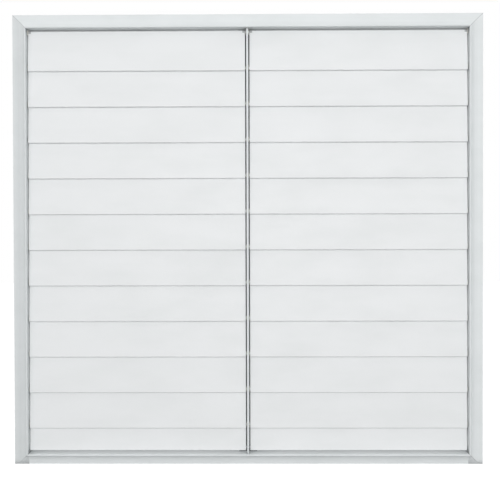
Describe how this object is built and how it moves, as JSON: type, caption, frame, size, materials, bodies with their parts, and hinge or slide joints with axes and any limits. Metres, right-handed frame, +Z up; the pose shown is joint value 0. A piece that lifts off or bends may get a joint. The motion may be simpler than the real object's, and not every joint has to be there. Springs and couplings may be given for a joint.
{
  "type": "gravity louvre shutter",
  "caption": "White wall shutter with two side-by-side banks of top-hung louvre blades that air flow lifts and gravity closes, in a beaded flange frame.",
  "frame": {"origin": "middle of the opening on the plane where the back of the flange meets the wall", "axes": "+X right and +Z up as seen from the front; +Y runs back into the wall, so the front faces -Y"},
  "size_m": [0.695, 0.0535, 0.666],
  "materials": {
    "frame_paint": "satin",
    "mullion_paint": "satin",
    "blade_paint": "satin",
    "rod_steel": "zinc plated",
    "bush_nylon": "moulded",
    "bar_aluminium": "mill",
    "rivet_aluminium": "mill",
    "bracket_zinc": "galvanised"
  },
  "bodies": {
    "frame": {"top_rail": "frame_paint", "bottom_rail": "frame_paint", "left_stile": "frame_paint", "right_stile": "frame_paint", "centre_mullion": "mullion_paint", "pivot_bushes": "bush_nylon", "corner_brackets": "bracket_zinc", "frame_rivets": "rivet_aluminium"},
    "left_blade_01": {"left_blade_01": "blade_paint", "left_pivot_rod_01": "rod_steel"},
    "left_blade_02": {"left_blade_02": "blade_paint", "left_pivot_rod_02": "rod_steel"},
    "left_blade_03": {"left_blade_03": "blade_paint", "left_pivot_rod_03": "rod_steel"},
    "left_blade_04": {"left_blade_04": "blade_paint", "left_pivot_rod_04": "rod_steel"},
    "left_blade_05": {"left_blade_05": "blade_paint", "left_pivot_rod_05": "rod_steel"},
    "left_blade_06": {"left_blade_06": "blade_paint", "left_pivot_rod_06": "rod_steel"},
    "left_blade_07": {"left_blade_07": "blade_paint", "left_pivot_rod_07": "rod_steel"},
    "left_blade_08": {"left_blade_08": "blade_paint", "left_pivot_rod_08": "rod_steel"},
    "left_blade_09": {"left_blade_09": "blade_paint", "left_pivot_rod_09": "rod_steel"},
    "left_blade_10": {"left_blade_10": "blade_paint", "left_pivot_rod_10": "rod_steel"},
    "left_blade_11": {"left_blade_11": "blade_paint", "left_pivot_rod_11": "rod_steel"},
    "left_blade_12": {"left_blade_12": "blade_paint", "left_pivot_rod_12": "rod_steel"},
    "left_tie_bar": {"left_tie_bar": "bar_aluminium", "left_tie_pins": "rivet_aluminium"},
    "right_blade_01": {"right_blade_01": "blade_paint", "right_pivot_rod_01": "rod_steel"},
    "right_blade_02": {"right_blade_02": "blade_paint", "right_pivot_rod_02": "rod_steel"},
    "right_blade_03": {"right_blade_03": "blade_paint", "right_pivot_rod_03": "rod_steel"},
    "right_blade_04": {"right_blade_04": "blade_paint", "right_pivot_rod_04": "rod_steel"},
    "right_blade_05": {"right_blade_05": "blade_paint", "right_pivot_rod_05": "rod_steel"},
    "right_blade_06": {"right_blade_06": "blade_paint", "right_pivot_rod_06": "rod_steel"},
    "right_blade_07": {"right_blade_07": "blade_paint", "right_pivot_rod_07": "rod_steel"},
    "right_blade_08": {"right_blade_08": "blade_paint", "right_pivot_rod_08": "rod_steel"},
    "right_blade_09": {"right_blade_09": "blade_paint", "right_pivot_rod_09": "rod_steel"},
    "right_blade_10": {"right_blade_10": "blade_paint", "right_pivot_rod_10": "rod_steel"},
    "right_blade_11": {"right_blade_11": "blade_paint", "right_pivot_rod_11": "rod_steel"},
    "right_blade_12": {"right_blade_12": "blade_paint", "right_pivot_rod_12": "rod_steel"},
    "right_tie_bar": {"right_tie_bar": "bar_aluminium", "right_tie_pins": "rivet_aluminium"}
  },
  "joints": [
    {"name": "left_blade_01_swing", "type": "hinge", "parent": "frame", "child": "left_blade_01", "pos_m": [-0.164, 0.007, 0.3108], "axis": [-1, 0, 0], "range_deg": [0, 70]},
    {"name": "left_blade_02_swing", "type": "hinge", "parent": "frame", "child": "left_blade_02", "pos_m": [-0.164, 0.007, 0.2577], "axis": [-1, 0, 0], "range_deg": [0, 70]},
    {"name": "left_blade_03_swing", "type": "hinge", "parent": "frame", "child": "left_blade_03", "pos_m": [-0.164, 0.007, 0.2046], "axis": [-1, 0, 0], "range_deg": [0, 70]},
    {"name": "left_blade_04_swing", "type": "hinge", "parent": "frame", "child": "left_blade_04", "pos_m": [-0.164, 0.007, 0.1515], "axis": [-1, 0, 0], "range_deg": [0, 70]},
    {"name": "left_blade_05_swing", "type": "hinge", "parent": "frame", "child": "left_blade_05", "pos_m": [-0.164, 0.007, 0.0984], "axis": [-1, 0, 0], "range_deg": [0, 70]},
    {"name": "left_blade_06_swing", "type": "hinge", "parent": "frame", "child": "left_blade_06", "pos_m": [-0.164, 0.007, 0.0453], "axis": [-1, 0, 0], "range_deg": [0, 70]},
    {"name": "left_blade_07_swing", "type": "hinge", "parent": "frame", "child": "left_blade_07", "pos_m": [-0.164, 0.007, -0.0078], "axis": [-1, 0, 0], "range_deg": [0, 70]},
    {"name": "left_blade_08_swing", "type": "hinge", "parent": "frame", "child": "left_blade_08", "pos_m": [-0.164, 0.007, -0.0609], "axis": [-1, 0, 0], "range_deg": [0, 70]},
    {"name": "left_blade_09_swing", "type": "hinge", "parent": "frame", "child": "left_blade_09", "pos_m": [-0.164, 0.007, -0.114], "axis": [-1, 0, 0], "range_deg": [0, 70]},
    {"name": "left_blade_10_swing", "type": "hinge", "parent": "frame", "child": "left_blade_10", "pos_m": [-0.164, 0.007, -0.1671], "axis": [-1, 0, 0], "range_deg": [0, 70]},
    {"name": "left_blade_11_swing", "type": "hinge", "parent": "frame", "child": "left_blade_11", "pos_m": [-0.164, 0.007, -0.2202], "axis": [-1, 0, 0], "range_deg": [0, 70]},
    {"name": "left_blade_12_swing", "type": "hinge", "parent": "frame", "child": "left_blade_12", "pos_m": [-0.164, 0.007, -0.2733], "axis": [-1, 0, 0], "range_deg": [0, 70]},
    {"name": "left_tie_bar_pivot", "type": "hinge", "parent": "left_blade_01", "child": "left_tie_bar", "pos_m": [-0.164, 0.029, 0.3108], "axis": [-1, 0, 0], "range_deg": [-70, 0]},
    {"name": "right_blade_01_swing", "type": "hinge", "parent": "frame", "child": "right_blade_01", "pos_m": [0.164, 0.007, 0.3108], "axis": [-1, 0, 0], "range_deg": [0, 70]},
    {"name": "right_blade_02_swing", "type": "hinge", "parent": "frame", "child": "right_blade_02", "pos_m": [0.164, 0.007, 0.2577], "axis": [-1, 0, 0], "range_deg": [0, 70]},
    {"name": "right_blade_03_swing", "type": "hinge", "parent": "frame", "child": "right_blade_03", "pos_m": [0.164, 0.007, 0.2046], "axis": [-1, 0, 0], "range_deg": [0, 70]},
    {"name": "right_blade_04_swing", "type": "hinge", "parent": "frame", "child": "right_blade_04", "pos_m": [0.164, 0.007, 0.1515], "axis": [-1, 0, 0], "range_deg": [0, 70]},
    {"name": "right_blade_05_swing", "type": "hinge", "parent": "frame", "child": "right_blade_05", "pos_m": [0.164, 0.007, 0.0984], "axis": [-1, 0, 0], "range_deg": [0, 70]},
    {"name": "right_blade_06_swing", "type": "hinge", "parent": "frame", "child": "right_blade_06", "pos_m": [0.164, 0.007, 0.0453], "axis": [-1, 0, 0], "range_deg": [0, 70]},
    {"name": "right_blade_07_swing", "type": "hinge", "parent": "frame", "child": "right_blade_07", "pos_m": [0.164, 0.007, -0.0078], "axis": [-1, 0, 0], "range_deg": [0, 70]},
    {"name": "right_blade_08_swing", "type": "hinge", "parent": "frame", "child": "right_blade_08", "pos_m": [0.164, 0.007, -0.0609], "axis": [-1, 0, 0], "range_deg": [0, 70]},
    {"name": "right_blade_09_swing", "type": "hinge", "parent": "frame", "child": "right_blade_09", "pos_m": [0.164, 0.007, -0.114], "axis": [-1, 0, 0], "range_deg": [0, 70]},
    {"name": "right_blade_10_swing", "type": "hinge", "parent": "frame", "child": "right_blade_10", "pos_m": [0.164, 0.007, -0.1671], "axis": [-1, 0, 0], "range_deg": [0, 70]},
    {"name": "right_blade_11_swing", "type": "hinge", "parent": "frame", "child": "right_blade_11", "pos_m": [0.164, 0.007, -0.2202], "axis": [-1, 0, 0], "range_deg": [0, 70]},
    {"name": "right_blade_12_swing", "type": "hinge", "parent": "frame", "child": "right_blade_12", "pos_m": [0.164, 0.007, -0.2733], "axis": [-1, 0, 0], "range_deg": [0, 70]},
    {"name": "right_tie_bar_pivot", "type": "hinge", "parent": "right_blade_01", "child": "right_tie_bar", "pos_m": [0.164, 0.029, 0.3108], "axis": [-1, 0, 0], "range_deg": [-70, 0]}
  ],
  "couplings": [
    {"joint": "left_blade_02_swing", "follows": "left_blade_01_swing", "ratio": 1},
    {"joint": "left_blade_03_swing", "follows": "left_blade_01_swing", "ratio": 1},
    {"joint": "left_blade_04_swing", "follows": "left_blade_01_swing", "ratio": 1},
    {"joint": "left_blade_05_swing", "follows": "left_blade_01_swing", "ratio": 1},
    {"joint": "left_blade_06_swing", "follows": "left_blade_01_swing", "ratio": 1},
    {"joint": "left_blade_07_swing", "follows": "left_blade_01_swing", "ratio": 1},
    {"joint": "left_blade_08_swing", "follows": "left_blade_01_swing", "ratio": 1},
    {"joint": "left_blade_09_swing", "follows": "left_blade_01_swing", "ratio": 1},
    {"joint": "left_blade_10_swing", "follows": "left_blade_01_swing", "ratio": 1},
    {"joint": "left_blade_11_swing", "follows": "left_blade_01_swing", "ratio": 1},
    {"joint": "left_blade_12_swing", "follows": "left_blade_01_swing", "ratio": 1},
    {"joint": "left_tie_bar_pivot", "follows": "left_blade_01_swing", "ratio": -1},
    {"joint": "right_blade_02_swing", "follows": "right_blade_01_swing", "ratio": 1},
    {"joint": "right_blade_03_swing", "follows": "right_blade_01_swing", "ratio": 1},
    {"joint": "right_blade_04_swing", "follows": "right_blade_01_swing", "ratio": 1},
    {"joint": "right_blade_05_swing", "follows": "right_blade_01_swing", "ratio": 1},
    {"joint": "right_blade_06_swing", "follows": "right_blade_01_swing", "ratio": 1},
    {"joint": "right_blade_07_swing", "follows": "right_blade_01_swing", "ratio": 1},
    {"joint": "right_blade_08_swing", "follows": "right_blade_01_swing", "ratio": 1},
    {"joint": "right_blade_09_swing", "follows": "right_blade_01_swing", "ratio": 1},
    {"joint": "right_blade_10_swing", "follows": "right_blade_01_swing", "ratio": 1},
    {"joint": "right_blade_11_swing", "follows": "right_blade_01_swing", "ratio": 1},
    {"joint": "right_blade_12_swing", "follows": "right_blade_01_swing", "ratio": 1},
    {"joint": "right_tie_bar_pivot", "follows": "right_blade_01_swing", "ratio": -1}
  ]
}
